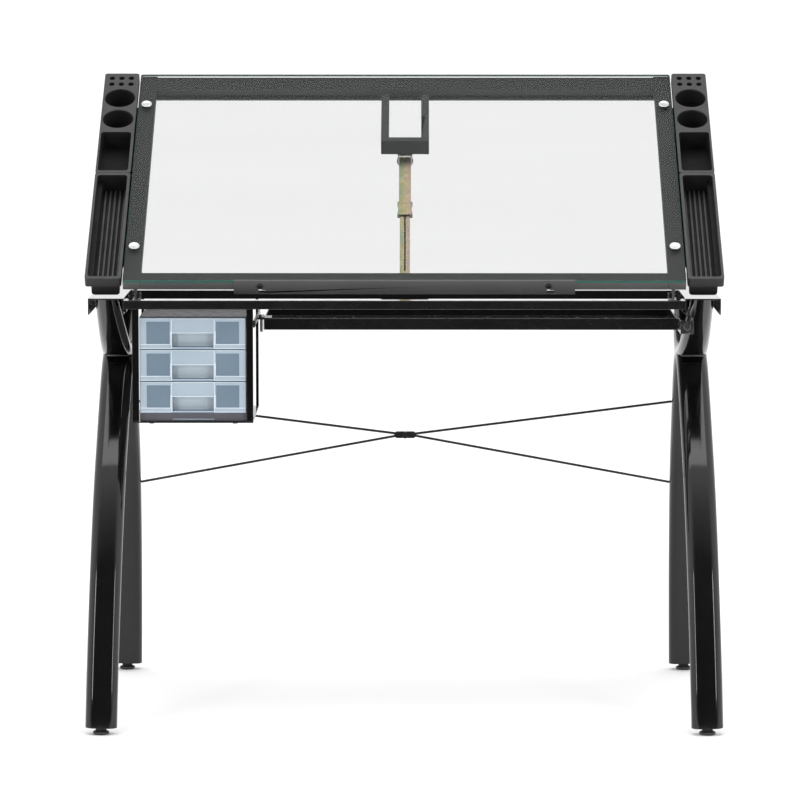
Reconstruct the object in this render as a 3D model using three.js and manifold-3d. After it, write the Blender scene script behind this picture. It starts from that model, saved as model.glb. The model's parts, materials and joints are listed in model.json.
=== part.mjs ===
// Glass-topped drafting table: tilting work surface on a curved tube stand, with
// side trays, a hanging drawer unit, a sliding pencil ledge and a ratchet support.
// Millimetres, +Z up, +X to the right, +Y to the back. Origin on the floor, centred.
import * as THREE from 'three';
import { mergeVertices } from 'three/addons/utils/BufferGeometryUtils.js';
import Module from 'manifold-3d';

const wasm = await Module();
wasm.setup();

// ---- driving dimensions -------------------------------------------------------
const GAP = 0.3;                       // clearance kept between touching pieces
const DEG = Math.PI / 180;
const SIDES = [['left', -1], ['right', 1]];
const ENDS = [['front', -1], ['back', 1]];

const TILT = 33.45 * DEG;              // stored angle of the work surface
const HINGE = { y: -239.1, z: 749.9, boltRadius: 4, headRadius: 7 };

// Measured in the tabletop: x across, y up the slope and z square to it from the hinge.
const GLASS = { halfWidth: 482.6, front: -15, back: 594.6, top: 46, thick: 5 };
const FRAME = { width: 30, thick: 15, wall: 1.5 };
const LEDGE = { halfWidth: 292.5, low: 18, high: 48, thick: 2, screwX: 247, screwZ: 36, screwRadius: 2.5,
  travel: 12 };
const LOOP = { halfWidth: 43, leg: 14, front: 396, back: 408, deep: 29.5 };
const STRAP_PIVOT = { y: 402, z: -8 }; // under the loop's cross bar
const TRAY = { inner: 485, outer: 547.5, top: 49.5, rim: 17.5, depth: 38.6, wall: 2.5, tubInset: 4 };
const TRAY_Y = { front: [-14, 288.7], back: [289.3, 592] };
const TRAY_HOLES = { x: 516.5, cupY: [451.5, 515.5], cupRadius: 27, penY: [559, 577.5], penRadius: 4.8,
  penPitch: 17.4, pocketY: [296, 411] };

// Measured on the stand, in the part's own axes.
const LEG = { footX: 522, lean: 0.0208, width: 55, thick: 30, wall: 1.8 };
const LEG_BOTTOM = 12;                 // underside of the leg tubes
const FOOT_Y = 318;
const FOOT_PLATE = 8;                  // end plate that the levelling screw runs in
const STEM_RADIUS = 4;
const FOOT = { radius: 14.3, padRadius: 12.4, neckRadius: 9.4, neckTop: 11.6, stemTop: 42 };
const KNEE_Z = 631;                    // weld between the lower arch and the upper bow
const ARM_TOP = { width: 40, z: 740, outward: 6 };  // pressed narrower and splayed out under the channels
const CHANNEL = { inner: 481, outer: 542, halfLength: 277, bottom: 721, top: 749, wall: 2.5 };
const RAIL = { depth: 24, height: 15, bottom: 729, wall: 1.5 };
const FRONT_LIFT = 2.7;                // the front rail sits a little higher than the others
const RAIL_Y = { front_rail: -279, middle_rail: -40, rear_rail: 265 };
const BOLT = { radius: 3, hole: 3.4 };
const HINGE_BRACKET = { inner: 467, outer: 478, sheet: 3, y: [-254, -224], z: [723, 745],
  shelfZ: [734, 737] };
const HINGE_LUG = { inner: 460, outer: 464, radius: 11 };
const BRACE = { radius: 2.25, low: [222, 367], high: [116, 528], midY: 160, midZ: 462, apart: 2.5, plate: 20,
  plateThick: 4.6, plateHeight: 12 };
const SHELF = { left: -246, right: 477, front: -134, back: 116, bottom: 682, top: 702, wall: 2 };
const RIGHT_BOLT = [489, 695];         // x, z of the bolt in front of the right arm
const LEFT_BOLT = [-249.4, -148];        // x, y of the bolt beside the drawer rack

const RACK = { left: -466.3, right: -258.9, post: 11.3, strip: 5, front: -285, back: -34.5, floor: 538,
  shelf: 2.5 };
const CABINET = { left: -454, right: -270.7, front: -276, back: 15, bottom: 538.3, top: 718 };
const DRAWER_TOPS = { drawer_top: 716, drawer_middle: 661.2, drawer_bottom: 606.4 };
const DRAWER_HEIGHT = 54.3;
const PULL = { left: -397.7, right: -326.6, height: 26, deep: 12, wall: 2 };
const DRAWER_WALL = 2;

const ARM_PIVOT = { y: RAIL_Y.middle_rail, z: 756, pinRadius: 3 };
const ARM_BAR = { length: 168, half: 9, thick: 5, slot: 5 };
const RATCHET_BRACKET = { half: 42, sheet: 2.7, earInner: 9.6, earOuter: 12.1 };
const STRAP = { length: 113, solidEnd: 18, half: 10.75, high: 4.8, eyeRadius: 8, tabHalf: 13.5,
  collarHalf: 12.2 };
const STRAP_EARS = { inner: 11.4, outer: 13, y: [394, 410] };
const BEARER = { inner: 470, outer: 530, y: [70, 540], z: [7.6, 10.4] };  // the trays rest on these

// ---- materials ----------------------------------------------------------------
const paint = (color, roughness, metalness) => () =>
  new THREE.MeshStandardMaterial({ color, roughness, metalness });
const glossBlack = paint(0x0c0c0e, 0.15, 0.1);
const satinGrey = paint(0x555555, 0.45, 0.3);
const mattePlastic = paint(0x18181a, 0.7, 0.0);
const zinc = paint(0xb8ac78, 0.3, 0.9);
const chrome = paint(0xd8dadc, 0.15, 1.0);
const frosted = paint(0xb4c3d0, 0.4, 0.0);
const smoked = paint(0x6a6570, 0.35, 0.0);
const glassy = () =>
  new THREE.MeshStandardMaterial({ color: 0x9fc8ba, transparent: true, opacity: 0.35, roughness: 0.05 });

// ---- solid helpers ------------------------------------------------------------
function solid(geometry) {
  const bare = geometry.index ? geometry.clone() : geometry;
  bare.deleteAttribute('normal');
  bare.deleteAttribute('uv');
  const merged = mergeVertices(bare, 1e-4);
  return new wasm.Manifold(new wasm.Mesh({
    numProp: 3,
    vertProperties: new Float32Array(merged.attributes.position.array),
    triVerts: new Uint32Array(merged.index.array),
  }));
}

function geometryOf(manifold) {
  const mesh = manifold.getMesh();
  const geometry = new THREE.BufferGeometry();
  geometry.setAttribute('position', new THREE.BufferAttribute(mesh.vertProperties, 3));
  geometry.setIndex(new THREE.BufferAttribute(mesh.triVerts, 1));
  return geometry;
}

const join = (first, ...others) => others.reduce((sum, item) => sum.add(item), first);
const cut = (first, ...tools) => tools.reduce((sum, item) => sum.subtract(item), first);

function block(x, y, z) {
  const geometry = new THREE.BoxGeometry(x[1] - x[0], y[1] - y[0], z[1] - z[0]);
  geometry.translate((x[0] + x[1]) / 2, (y[0] + y[1]) / 2, (z[0] + z[1]) / 2);
  return geometry;
}

const box = (x, y, z) => solid(block(x, y, z));

// A cylinder between two places on one axis ('x', 'y' or 'z').
function rodGeometry(axis, radius, from, to, centre, sides = 20) {
  const geometry = new THREE.CylinderGeometry(radius, radius, to - from, sides);
  if (axis === 'x') geometry.rotateZ(-Math.PI / 2);
  if (axis === 'z') geometry.rotateX(Math.PI / 2);
  const middle = (from + to) / 2;
  if (axis === 'x') geometry.translate(middle, centre[0], centre[1]);
  if (axis === 'y') geometry.translate(centre[0], middle, centre[1]);
  if (axis === 'z') geometry.translate(centre[0], centre[1], middle);
  return geometry;
}

const rod = (...values) => solid(rodGeometry(...values));

// Outline of a rectangle with rounded corners, centred on (cx, cy).
function roundedOutline(width, height, radius, cx = 0, cy = 0) {
  const outline = new THREE.Shape();
  const x = width / 2 - radius;
  const y = height / 2 - radius;
  outline.absarc(cx + x, cy + y, radius, 0, Math.PI / 2);
  outline.absarc(cx - x, cy + y, radius, Math.PI / 2, Math.PI);
  outline.absarc(cx - x, cy - y, radius, Math.PI, 1.5 * Math.PI);
  outline.absarc(cx + x, cy - y, radius, 1.5 * Math.PI, 2 * Math.PI);
  outline.closePath();
  return outline;
}

function extrude(outline, depth) {
  return new THREE.ExtrudeGeometry(outline, { depth, curveSegments: 2, bevelEnabled: false });
}

// A rounded plate or pocket standing along Z.
function roundedBlock(x, y, z, radius) {
  const outline = roundedOutline(x[1] - x[0], y[1] - y[0], radius, (x[0] + x[1]) / 2, (y[0] + y[1]) / 2);
  const geometry = extrude(outline, z[1] - z[0]);
  geometry.translate(0, 0, z[0]);
  return solid(geometry);
}

// A rectangular tube with open ends, running along X or along Y.
function boxTube(axis, x, y, z, wall) {
  const inset = (range) => [range[0] + wall, range[1] - wall];
  const past = (range) => [range[0] - 1, range[1] + 1];
  const bore = axis === 'x' ? box(past(x), inset(y), inset(z)) : box(inset(x), past(y), inset(z));
  return cut(box(x, y, z), bore);
}

// A turned part: [radius, height] pairs from the axis out and back to the axis, along Z.
function turned(profile, sides = 18) {
  const points = profile.map(([radius, height]) => new THREE.Vector2(radius, height));
  const geometry = new THREE.LatheGeometry(points, sides);
  geometry.rotateX(Math.PI / 2);       // the lathe's Y axis becomes Z
  return geometry;
}

// Mirrors a span of x to the left side where sign is -1.
const across = (sign, near, far) => (sign > 0 ? [near, far] : [-far, -near]);

// ---- scene graph --------------------------------------------------------------
const group = new THREE.Group();
group.name = 'drafting_table';

const tabletop = new THREE.Group();    // x across, y up the slope, z square to the glass
tabletop.position.set(0, HINGE.y, HINGE.z);
tabletop.rotation.x = TILT;
group.add(tabletop);

const sideFrames = SIDES.map(([, sign]) => {
  const frame = new THREE.Group();     // z runs up the leaning plane of one pair of legs
  frame.position.set(sign * LEG.footX, 0, 0);
  frame.rotation.y = -sign * LEG.lean;
  group.add(frame);
  return frame;
});

const ratchet = new THREE.Group();     // y runs from the lower pivot to the upper pivot
const strapPivotY = HINGE.y + STRAP_PIVOT.y * Math.cos(TILT) - STRAP_PIVOT.z * Math.sin(TILT);
const strapPivotZ = HINGE.z + STRAP_PIVOT.y * Math.sin(TILT) + STRAP_PIVOT.z * Math.cos(TILT);
const pivotSpan = Math.hypot(strapPivotY - ARM_PIVOT.y, strapPivotZ - ARM_PIVOT.z);
ratchet.position.set(0, ARM_PIVOT.y, ARM_PIVOT.z);
ratchet.rotation.x = Math.atan2(strapPivotZ - ARM_PIVOT.z, strapPivotY - ARM_PIVOT.y);
group.add(ratchet);

function add(parent, name, shape, material) {
  const geometry = shape.isBufferGeometry ? shape : geometryOf(shape);
  const mesh = new THREE.Mesh(geometry, material());
  mesh.name = name;
  parent.add(mesh);
}

// ---- legs and arms ------------------------------------------------------------
// Half of the arch, seen from the side: upright at the foot, level at the knee.
function legPath(sign) {
  const at = (y, z) => new THREE.Vector3(0, sign * y, z);
  const crown = KNEE_Z;                // the weld plane cuts the tube at its widest
  const path = new THREE.CurvePath();
  path.add(new THREE.LineCurve3(at(319.5, LEG_BOTTOM - 12), at(FOOT_Y, LEG_BOTTOM)));
  path.add(new THREE.CubicBezierCurve3(at(FOOT_Y, LEG_BOTTOM), at(304, 165), at(241, 363.5), at(167, 461)));
  path.add(new THREE.CubicBezierCurve3(at(167, 461), at(110, 536), at(50, crown), at(0, crown)));
  path.add(new THREE.LineCurve3(at(0, crown), at(-12, crown)));
  return path;
}

// Half of the bow on top of the arch, rising to the channel.
function armPath(sign) {
  const at = (y, z) => new THREE.Vector3(0, sign * y, z);
  const low = KNEE_Z;
  const path = new THREE.CurvePath();
  path.add(new THREE.LineCurve3(at(-12, low), at(0, low)));
  path.add(new THREE.CubicBezierCurve3(at(0, low), at(60, low), at(150, 690), at(225, 738)));
  path.add(new THREE.LineCurve3(at(225, 738), at(262.5, 762)));
  return path;
}

// A flat-sided oval tube along a path, as its outer skin and its bore. The sweep's first
// axis lies across the leg on an upright start, and in the leg's plane on a level one.
function ovalTube(path, steps, levelStart) {
  const along = (width, thick) => {
    const size = levelStart ? [thick, width] : [width, thick];
    const outline = roundedOutline(...size, thick / 2 - 0.01);
    return solid(new THREE.ExtrudeGeometry(outline, { extrudePath: path, steps, curveSegments: 1 }));
  };
  const walls = 2 * LEG.wall;
  return { skin: along(LEG.width, LEG.thick), bore: along(LEG.width - walls, LEG.thick - walls) };
}

function leg(sign) {
  const tube = ovalTube(legPath(sign), 16, false);
  const half = sign > 0 ? [GAP / 2, 400] : [-400, -GAP / 2];
  const bore = tube.bore.intersect(box([-60, 60], [-400, 400], [LEG_BOTTOM + FOOT_PLATE, 700]));
  const footHole = rod('z', STEM_RADIUS + 1, 0, 60, [0, sign * FOOT_Y], 12);
  return cut(tube.skin, bore, footHole).intersect(box([-60, 60], half, [LEG_BOTTOM, KNEE_Z - GAP / 2]));
}

function arm(sign, out) {
  const tube = ovalTube(armPath(sign), 9, true);
  const half = sign > 0 ? [GAP / 2, 400] : [-400, -GAP / 2];
  const top = CHANNEL.top - CHANNEL.wall - 3 * GAP;
  const room = box([-60, 60], half, [KNEE_Z + GAP / 2, top]);
  const shape = geometryOf(cut(tube.skin, tube.bore).intersect(room));
  const place = shape.attributes.position;
  const squeeze = 1 - ARM_TOP.width / LEG.width;
  for (let i = 0; i < place.count; i += 1) {
    const rise = THREE.MathUtils.clamp((place.getZ(i) - KNEE_Z) / (ARM_TOP.z - KNEE_Z), 0, 1);
    place.setX(i, place.getX(i) * (1 - squeeze * rise) + out * ARM_TOP.outward * rise);
  }
  return shape;
}

SIDES.forEach(([side, out], index) => {
  for (const [end, sign] of ENDS) {
    add(sideFrames[index], `leg_${end}_${side}`, leg(sign), glossBlack);
    add(sideFrames[index], `arm_${end}_${side}`, arm(sign, out), glossBlack);
  }
});

// ---- levelling feet -----------------------------------------------------------
for (const [side, sign] of SIDES) {
  for (const [end, way] of ENDS) {
    const foot = turned([[0, 0], [FOOT.padRadius, 0], [FOOT.radius, 1.8], [FOOT.radius, 4.6], [12.6, 6],
      [FOOT.neckRadius, 6.6], [FOOT.neckRadius, FOOT.neckTop], [STEM_RADIUS, FOOT.neckTop],
      [STEM_RADIUS, FOOT.stemTop], [0, FOOT.stemTop]]);
    foot.translate(sign * LEG.footX, way * FOOT_Y, 0);
    add(group, `foot_${end}_${side}`, foot, glossBlack);
  }
}

// ---- side channels and cross rails --------------------------------------------
for (const [side, sign] of SIDES) {
  const { inner, outer, halfLength, bottom, top, wall } = CHANNEL;
  const full = box(across(sign, inner, outer), [-halfLength, halfLength], [bottom, top]);
  const inside = box(across(sign, inner + wall, outer - wall), [-300, 300], [bottom - 5, top - wall]);
  add(group, `side_channel_${side}`, cut(full, inside), glossBlack);
}

const railEnds = [-CHANNEL.inner + GAP, CHANNEL.inner - GAP];
const railZ = [RAIL.bottom, RAIL.bottom + RAIL.height];
for (const [name, y] of Object.entries(RAIL_Y)) {
  const railY = [y - RAIL.depth / 2, y + RAIL.depth / 2];
  const lift = name === 'front_rail' ? FRONT_LIFT : 0;
  const heights = [railZ[0] + lift, railZ[1] + lift];
  add(group, name, boxTube('x', railEnds, railY, heights, RAIL.wall), glossBlack);
}

// ---- fasteners ----------------------------------------------------------------
// A hex bolt: the head starts at `head` and the shank ends at `tip`.
function bolt(axis, centre, head, tip, headRadius, headLength) {
  const sign = Math.sign(tip - head);
  const span = (from, to) => [Math.min(from, to), Math.max(from, to)];
  const cap = rod(axis, headRadius, ...span(head, head + sign * headLength), centre, 6);
  const shank = rod(axis, BOLT.radius, ...span(head + sign * (headLength - 0.5), tip), centre, 16);
  return join(cap, shank);
}

// ---- under-shelf pan with its brackets and bolts ------------------------------
add(group, 'under_shelf', cut(
  box([SHELF.left, SHELF.right], [SHELF.front, SHELF.back], [SHELF.bottom, SHELF.top]),
  box([SHELF.left + SHELF.wall, SHELF.right - SHELF.wall],
    [SHELF.front + SHELF.wall, SHELF.back - SHELF.wall], [SHELF.bottom + SHELF.wall, SHELF.top + 5]),
), glossBlack);

const bracketZ = [SHELF.bottom, SHELF.top + 3];
add(group, 'shelf_bracket_right', cut(join(
  box([SHELF.right + GAP, SHELF.right + 3.3], [-206, -100], bracketZ),
  box([SHELF.right + GAP, SHELF.right + 23], [-209, -206], bracketZ),
), rod('y', BOLT.hole, -215, -200, RIGHT_BOLT, 16)), chrome);
add(group, 'shelf_bolt_right', bolt('y', RIGHT_BOLT, -214, -197, 6.5, 4.7), chrome);

const rackFace = RACK.right + GAP;
add(group, 'shelf_bracket_left', cut(join(
  box([rackFace, rackFace + 3], [RACK.front, RACK.back], [700, 712]),
  box([rackFace, SHELF.left + 14], [-160, -112], [SHELF.top + GAP, SHELF.top + 3.3]),
), rod('z', BOLT.hole, 690, 720, LEFT_BOLT, 16)), glossBlack);
add(group, 'shelf_bolt_left', bolt('z', LEFT_BOLT, 710.3, 680, 6, 4.7), chrome);

// ---- crossed brace rods between the rear legs ---------------------------------
function wire(from, to, radius) {
  const span = to.clone().sub(from);
  const geometry = new THREE.CylinderGeometry(radius, radius, span.length(), 10);
  const up = new THREE.Vector3(0, 1, 0);
  geometry.applyQuaternion(new THREE.Quaternion().setFromUnitVectors(up, span.normalize()));
  const middle = from.clone().add(to).multiplyScalar(0.5);
  geometry.translate(middle.x, middle.y, middle.z);
  return solid(geometry);
}

// Each rod kinks where its flattened middle is bolted to the other one.
const legInner = (z) => LEG.footX - LEG.lean * z - LEG.width / 2 - 2 * GAP;
for (const [name, sign, layer] of [['brace_rod_a', -1, -1], ['brace_rod_b', 1, 1]]) {
  const y = BRACE.midY + layer * BRACE.apart;
  const low = new THREE.Vector3(sign * legInner(BRACE.low[1]), ...BRACE.low);
  const high = new THREE.Vector3(-sign * legInner(BRACE.high[1]), ...BRACE.high);
  const nearLow = new THREE.Vector3(sign * (BRACE.plate - 3), y, BRACE.midZ - 2);
  const nearHigh = new THREE.Vector3(-sign * (BRACE.plate - 3), y, BRACE.midZ + 2);
  const plate = box([-BRACE.plate, BRACE.plate], [y - BRACE.plateThick / 2, y + BRACE.plateThick / 2],
    [BRACE.midZ - BRACE.plateHeight / 2, BRACE.midZ + BRACE.plateHeight / 2]);
  const hole = rod('y', 3.3, y - 10, y + 10, [0, BRACE.midZ], 16);
  const rods = [wire(low, nearLow, BRACE.radius), wire(nearHigh, high, BRACE.radius)];
  add(group, name, cut(join(plate, ...rods), hole), glossBlack);
}
add(group, 'brace_bolt', bolt('y', [0, BRACE.midZ], BRACE.midY - 11, BRACE.midY + 14, 6.5, 5), glossBlack);

// ---- hinge brackets and bolts -------------------------------------------------
const hingeAt = [HINGE.y, HINGE.z];
for (const [side, sign] of SIDES) {
  const { inner, outer, sheet, y, z, shelfZ } = HINGE_BRACKET;
  const shape = join(
    box(across(sign, outer, CHANNEL.inner - GAP), y, z),
    box(across(sign, inner, outer + 2), y, shelfZ),
    box(across(sign, inner, inner + sheet), y, [shelfZ[0], HINGE.z + 12]),
  );
  const hole = rod('x', HINGE.boltRadius + GAP, ...across(sign, 455, 475), hingeAt, 24);
  add(group, `hinge_bracket_${side}`, cut(shape, hole), glossBlack);
  add(group, `hinge_bolt_${side}`, join(
    rod('x', HINGE.headRadius, ...across(sign, inner + sheet + GAP, 475), hingeAt, 6),
    rod('x', HINGE.boltRadius, ...across(sign, 455, 473), hingeAt, 24),
    rod('x', HINGE.headRadius, ...across(sign, 453.5, HINGE_LUG.inner - 0.4), hingeAt, 6),
  ), chrome);
}

// ---- drawer rack --------------------------------------------------------------
const postX = {                        // square tubes in front, flat strips behind
  front: { left: [RACK.left, RACK.left + RACK.post], right: [RACK.right - RACK.post, RACK.right] },
  back: { left: [RACK.left, RACK.left + RACK.strip], right: [RACK.right - RACK.strip, RACK.right] },
};
const postY = { front: [RACK.front, RACK.front + RACK.post], back: [RACK.back - RACK.post, RACK.back] };
for (const [side] of SIDES) {
  for (const [end] of ENDS) {
    const rise = end === 'front' ? FRONT_LIFT : 0;
    const post = block(postX[end][side], postY[end], [RACK.floor, RAIL.bottom + rise - GAP]);
    add(group, `rack_post_${end}_${side}`, post, glossBlack);
  }
}
add(group, 'rack_shelf', block([RACK.left, RACK.right], [RACK.front, RACK.back],
  [RACK.floor - RACK.shelf, RACK.floor - GAP]), glossBlack);

// ---- drawer cabinet and drawers -----------------------------------------------
const bays = Object.values(DRAWER_TOPS).map((top) =>
  box([CABINET.left + 2, CABINET.right - 2], [CABINET.front - 5, CABINET.back - 2],
    [top - DRAWER_HEIGHT + 0.5, top - 1]));
add(group, 'drawer_cabinet', cut(
  box([CABINET.left, CABINET.right], [CABINET.front, CABINET.back], [CABINET.bottom, CABINET.top]),
  ...bays,
), smoked);

for (const [name, top] of Object.entries(DRAWER_TOPS)) {
  const bottom = top - DRAWER_HEIGHT;
  const face = CABINET.front - GAP;
  const front = box([CABINET.left + 0.7, CABINET.right - 0.7], [face - 5, face], [bottom, top]);
  const tub = cut(
    box([CABINET.left + 3, CABINET.right - 3], [face - 1, CABINET.back - 5], [bottom + 1.5, top - 4]),
    box([CABINET.left + 3 + DRAWER_WALL, CABINET.right - 3 - DRAWER_WALL],
      [face + 1, CABINET.back - 5 - DRAWER_WALL], [bottom + 1.5 + DRAWER_WALL, top + 5]),
  );
  const pullZ = [bottom + 4, bottom + 2 + PULL.height];
  const cup = box([PULL.left - PULL.wall, PULL.right + PULL.wall], [face, face + PULL.deep],
    [pullZ[0] - PULL.wall, pullZ[1] + PULL.wall]);
  const scoop = box([PULL.left, PULL.right], [face - 8, face + PULL.deep - PULL.wall], pullZ);
  add(group, name, cut(join(front, tub, cup), scoop), frosted);
}

// ---- ratchet support ----------------------------------------------------------
const armPivotAt = [ARM_PIVOT.y, ARM_PIVOT.z];
const railFront = ARM_PIVOT.y - RAIL.depth / 2;
const railBack = ARM_PIVOT.y + RAIL.depth / 2;
const saddleTop = railZ[1] + GAP + RATCHET_BRACKET.sheet;
const saddleBack = railBack + GAP + RATCHET_BRACKET.sheet;
const saddleX = [-RATCHET_BRACKET.half, RATCHET_BRACKET.half];
add(group, 'ratchet_bracket', cut(join(
  box(saddleX, [railFront, saddleBack], [railZ[1] + GAP, saddleTop]),
  box(saddleX, [railBack + GAP, saddleBack], [RAIL.bottom - 6, saddleTop]),
  ...[-1, 1].map((sign) => box(across(sign, RATCHET_BRACKET.earInner, RATCHET_BRACKET.earOuter),
    [ARM_PIVOT.y - 8, ARM_PIVOT.y + 8], [railZ[1] + 1, ARM_PIVOT.z + 8])),
), rod('x', ARM_PIVOT.pinRadius + GAP, -20, 20, armPivotAt, 20)), zinc);

add(group, 'ratchet_pin', join(
  rod('x', ARM_PIVOT.pinRadius, -14, 14, armPivotAt, 20),
  ...[-1, 1].map((sign) => rod('x', 5, ...across(sign, RATCHET_BRACKET.earOuter + GAP, 15), armPivotAt, 20)),
), zinc);

add(ratchet, 'ratchet_arm', cut(
  join(
    box([-ARM_BAR.half, ARM_BAR.half], [0, ARM_BAR.length], [-ARM_BAR.thick / 2, ARM_BAR.thick / 2]),
    rod('x', 6.5, -ARM_BAR.half, ARM_BAR.half, [0, 0], 20),
  ),
  rod('x', ARM_PIVOT.pinRadius + GAP, -12, 12, [0, 0], 20),
  box([-ARM_BAR.slot / 2, ARM_BAR.slot / 2], [24, ARM_BAR.length - 12], [-6, 6]),
), zinc);

const strapStart = pivotSpan - STRAP.length;
add(ratchet, 'ratchet_strap', cut(join(
  box([-STRAP.half, STRAP.half], [strapStart, pivotSpan], [-STRAP.high, STRAP.high]),
  rod('x', STRAP.eyeRadius, -STRAP.half, STRAP.half, [pivotSpan, 0], 20),
  box([-STRAP.tabHalf, STRAP.tabHalf], [strapStart - 2, strapStart + 3], [-6.5, 6.5]),
  box([-STRAP.collarHalf, STRAP.collarHalf], [strapStart, strapStart + 24], [-6, 6]),
  box([-STRAP.tabHalf, STRAP.tabHalf], [strapStart + 21, strapStart + 25], [-6.5, 6.5]),
), box([-ARM_BAR.half - GAP, ARM_BAR.half + GAP], [strapStart - 5, pivotSpan - STRAP.solidEnd],
  [-ARM_BAR.thick / 2 - GAP, ARM_BAR.thick / 2 + GAP])), zinc);

// ---- tabletop: frame ----------------------------------------------------------
const frameTop = GLASS.top - GLASS.thick - GAP;
const frameZ = [frameTop - FRAME.thick, frameTop];
const sideInner = GLASS.halfWidth - FRAME.width;
const discX = GLASS.halfWidth - 15;
const discY = { front: GLASS.front + 95, back: GLASS.back - 95 };

for (const [side, sign] of SIDES) {
  const stripX = across(sign, sideInner, GLASS.halfWidth);
  const strip = boxTube('y', stripX, [GLASS.front + 1, GLASS.back], frameZ, FRAME.wall);
  const lugX = across(sign, HINGE_LUG.inner, HINGE_LUG.outer);
  const lug = join(
    box(lugX, [-HINGE_LUG.radius, HINGE_LUG.radius], [0, frameZ[0] + 1]),
    rod('x', HINGE_LUG.radius, ...lugX, [0, 0], 24),
  );
  const bearer = join(
    box(across(sign, BEARER.inner, BEARER.inner + 3), BEARER.y, [BEARER.z[0], frameZ[0] + 0.5]),
    box(across(sign, BEARER.inner, BEARER.outer), BEARER.y, BEARER.z),
  );
  const lugHole = rod('x', HINGE.boltRadius + GAP, ...across(sign, 455, 469), [0, 0], 24);
  const boltHoles = ENDS.map(([end]) =>
    rod('z', 3.5, frameTop - 5, frameTop + 5, [sign * discX, discY[end]], 16));
  add(tabletop, `top_frame_${side}`, cut(join(strip, lug, bearer), lugHole, ...boltHoles), satinGrey);
}

const betweenSides = [-sideInner + GAP, sideInner - GAP];
const screwHoles = [-1, 1].map((sign) => rod('y', 2.8, -20, 0, [sign * LEDGE.screwX, LEDGE.screwZ], 16));
add(tabletop, 'top_frame_front', cut(
  boxTube('x', betweenSides, [GLASS.front + 1, 13], frameZ, FRAME.wall),
  ...screwHoles,
), satinGrey);
add(tabletop, 'top_frame_back', join(
  boxTube('x', betweenSides, [GLASS.back - 42, GLASS.back - 3], frameZ, FRAME.wall),
  box(betweenSides, [GLASS.back - 54, GLASS.back - 41], [frameZ[0], frameZ[0] + 3]),
), satinGrey);

// ---- tabletop: glass and its bolts --------------------------------------------
const paneHoles = [];
for (const [side, sign] of SIDES) {
  for (const [end] of ENDS) {
    paneHoles.push(rod('z', 3.6, GLASS.top - 10, GLASS.top + 10, [sign * discX, discY[end]], 16));
    const disc = turned([[0, -13], [3.1, -13], [3.1, GAP], [9.7, GAP], [9.7, 2], [8.9, 2.8], [0, 2.8]], 20);
    disc.translate(sign * discX, discY[end], GLASS.top);
    add(tabletop, `glass_bolt_${end}_${side}`, disc, chrome);
  }
}
add(tabletop, 'glass_top', cut(
  roundedBlock([-GLASS.halfWidth, GLASS.halfWidth], [GLASS.front, GLASS.back],
    [GLASS.top - GLASS.thick, GLASS.top], 5),
  ...paneHoles,
), glassy);

// ---- tabletop: pencil ledge ---------------------------------------------------
const ledgeBack = GLASS.front - GAP;
const ledgeFace = ledgeBack - LEDGE.thick;
const slotReach = LEDGE.screwRadius + GAP;
const slotFoot = LEDGE.screwZ - LEDGE.travel - slotReach;
const ledgeSlots = [-1, 1].flatMap((sign) => {
  const x = sign * LEDGE.screwX;
  return [
    box([x - slotReach, x + slotReach], [-30, 0], [slotFoot, LEDGE.screwZ + slotReach]),
    box([x - slotReach, x + 9], [-30, 0], [slotFoot, slotFoot + 2 * slotReach]),
  ];
});
add(tabletop, 'pencil_ledge', cut(
  box([-LEDGE.halfWidth, LEDGE.halfWidth], [ledgeFace, ledgeBack], [LEDGE.low, LEDGE.high]),
  ...ledgeSlots,
), satinGrey);
for (const [side, sign] of SIDES) {
  const at = [sign * LEDGE.screwX, LEDGE.screwZ];
  add(tabletop, `ledge_screw_${side}`, join(
    rod('y', 5.5, ledgeFace - GAP - 2.2, ledgeFace - GAP, at, 20),
    rod('y', LEDGE.screwRadius, ledgeFace - 1, -6, at, 16),
  ), glossBlack);
}

// ---- tabletop: support loop and the strap's bracket ---------------------------
const loopTop = GLASS.top - GLASS.thick - 2 * GAP;
const loopZ = [loopTop - LOOP.deep, loopTop];
const loopReach = GLASS.back - 54 - GAP;
add(tabletop, 'support_loop', join(
  box([-LOOP.halfWidth, LOOP.halfWidth], [LOOP.front, LOOP.back], loopZ),
  ...[-1, 1].map((sign) =>
    box(across(sign, LOOP.halfWidth - LOOP.leg, LOOP.halfWidth), [LOOP.front, loopReach], loopZ)),
), glossBlack);

add(tabletop, 'strap_bracket', join(
  box([-STRAP_EARS.outer, STRAP_EARS.outer], STRAP_EARS.y, [loopZ[0] - GAP - 2, loopZ[0] - GAP]),
  ...[-1, 1].flatMap((sign) => {
    const earX = across(sign, STRAP_EARS.inner, STRAP_EARS.outer);
    return [
      box(earX, STRAP_EARS.y, [STRAP_PIVOT.z, loopZ[0] - GAP]),
      rod('x', STRAP.eyeRadius, ...earX, [STRAP_PIVOT.y, STRAP_PIVOT.z], 20),
      rod('x', 4.5, ...across(sign, 12, 14.5), [STRAP_PIVOT.y, STRAP_PIVOT.z], 16),
    ];
  }),
), zinc);

// ---- side trays ---------------------------------------------------------------
const trayFloor = TRAY.top - TRAY.depth;
const rimUnder = TRAY.top - TRAY.rim;
const pocketFloor = trayFloor + 3;

// The tub hangs below a wider rim; tubOuter is how far the tub reaches from the glass.
function trayBody(sign, y, tubOuter) {
  const rim = roundedBlock(across(sign, TRAY.inner, TRAY.outer), y, [rimUnder, TRAY.top], 5);
  const [low, high] = across(sign, TRAY.inner + 3.5, tubOuter);
  const outline = roundedOutline(high - low, rimUnder + 6 - trayFloor, 6, (low + high) / 2,
    (rimUnder + 6 + trayFloor) / 2);
  const tub = extrude(outline, y[1] - y[0] - 2 * TRAY.tubInset);
  tub.rotateX(Math.PI / 2);
  tub.translate(0, y[1] - TRAY.tubInset, 0);
  return join(rim, solid(tub));
}

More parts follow.
